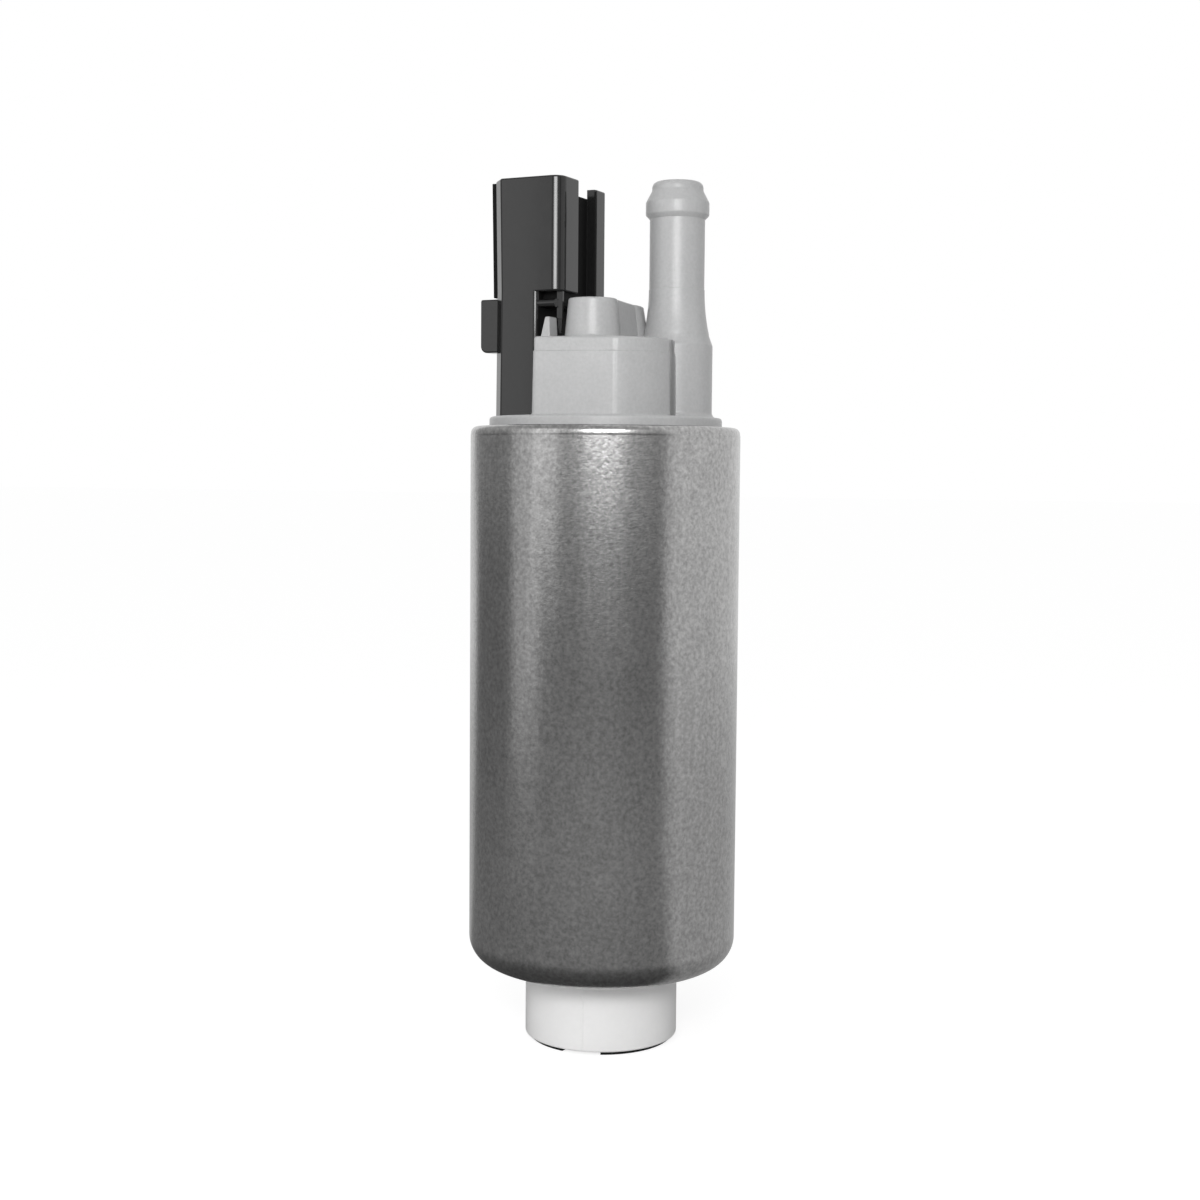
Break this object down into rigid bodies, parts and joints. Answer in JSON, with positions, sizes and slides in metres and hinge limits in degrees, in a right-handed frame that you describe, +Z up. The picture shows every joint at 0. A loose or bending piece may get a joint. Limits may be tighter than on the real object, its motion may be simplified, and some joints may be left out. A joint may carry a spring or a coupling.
{
  "type": "electric fuel pump",
  "caption": "In-tank electric fuel pump: steel can with gerotor stage and brushed motor, moulded outlet cover with hose barb, plug-in connector shroud, inlet nose below.",
  "frame": {"origin": "on the can axis, at the foot of the inlet nose's seal ring, where the pump stands", "axes": "+Z up along the can axis towards the outlet; -X towards the connector; +Y completes the right hand"},
  "size_m": [0.039, 0.039, 0.1248],
  "materials": {
    "steel_can": "satin plated steel with fine speckle",
    "white_plastic": "satin moulded",
    "rubber": "matt",
    "sintered": "ground sintered iron",
    "rotor_steel": "ground sintered steel",
    "bright_steel": "polished",
    "spring_steel": "drawn wire",
    "bronze": "sintered bronze",
    "dark_plastic": "satin moulded",
    "lamination": "stacked laminations",
    "copper": "enamelled wire",
    "carbon": "pressed carbon",
    "ferrite": "ground ferrite",
    "tin": "tin plated",
    "grey_plastic": "satin moulded",
    "black_plastic": "smooth moulded"
  },
  "bodies": {
    "housing": {"pump_shell": "steel_can", "inlet_nose": "white_plastic", "inlet_seal": "rubber", "inlet_plate": "sintered", "cam_ring": "sintered", "outlet_plate": "sintered", "relief_spring": "spring_steel", "lower_bearing": "bronze", "thrust_washer": "dark_plastic", "magnet_front": "ferrite", "magnet_rear": "ferrite", "magnet_spring": "spring_steel", "upper_bearing": "bronze", "brush_spring_positive": "spring_steel", "brush_spring_negative": "spring_steel", "choke_positive": "copper", "choke_negative": "copper", "terminal_positive": "tin", "terminal_negative": "tin", "outlet_cover": "grey_plastic", "cover_seal": "rubber", "check_valve_seat": "bronze", "check_valve_spring": "spring_steel", "connector_shell": "black_plastic"},
    "armature": {"inner_rotor": "rotor_steel", "drive_coupling": "dark_plastic", "armature_shaft": "bright_steel", "armature_core": "lamination", "armature_winding": "copper", "commutator": "carbon"},
    "outer_rotor": {"outer_rotor": "rotor_steel"},
    "brush_positive": {"brush_positive": "carbon"},
    "brush_negative": {"brush_negative": "carbon"},
    "check_valve": {"check_valve_poppet": "white_plastic"},
    "relief_valve": {"relief_ball": "bright_steel"}
  },
  "joints": [
    {"name": "armature_spin", "type": "hinge", "parent": "housing", "child": "armature", "pos_m": [0, 0, 0.05], "axis": [0, 0, 1], "continuous": true},
    {"name": "outer_rotor_spin", "type": "hinge", "parent": "housing", "child": "outer_rotor", "pos_m": [-0.00095, 0, 0.02295], "axis": [0, 0, 1], "continuous": true},
    {"name": "brush_positive_slide", "type": "slide", "parent": "housing", "child": "brush_positive", "axis": [0, 0, 1], "range_m": [0, 0.008], "stiffness_N_per_m": 100, "springref_m": -0.01, "deforming": ["brush_spring_positive"]},
    {"name": "brush_negative_slide", "type": "slide", "parent": "housing", "child": "brush_negative", "axis": [0, 0, 1], "range_m": [0, 0.008], "stiffness_N_per_m": 100, "springref_m": -0.01, "deforming": ["brush_spring_negative"]},
    {"name": "check_valve_lift", "type": "slide", "parent": "housing", "child": "check_valve", "axis": [0, 0, 1], "range_m": [0, 0.0025], "stiffness_N_per_m": 60, "springref_m": -0.003, "deforming": ["check_valve_spring"]},
    {"name": "relief_valve_lift", "type": "slide", "parent": "housing", "child": "relief_valve", "axis": [0, 0, -1], "range_m": [0, 0.0012], "stiffness_N_per_m": 1500, "springref_m": -0.0023, "deforming": ["relief_spring"]}
  ],
  "couplings": [
    {"joint": "outer_rotor_spin", "follows": "armature_spin", "ratio": 0.85714}
  ]
}
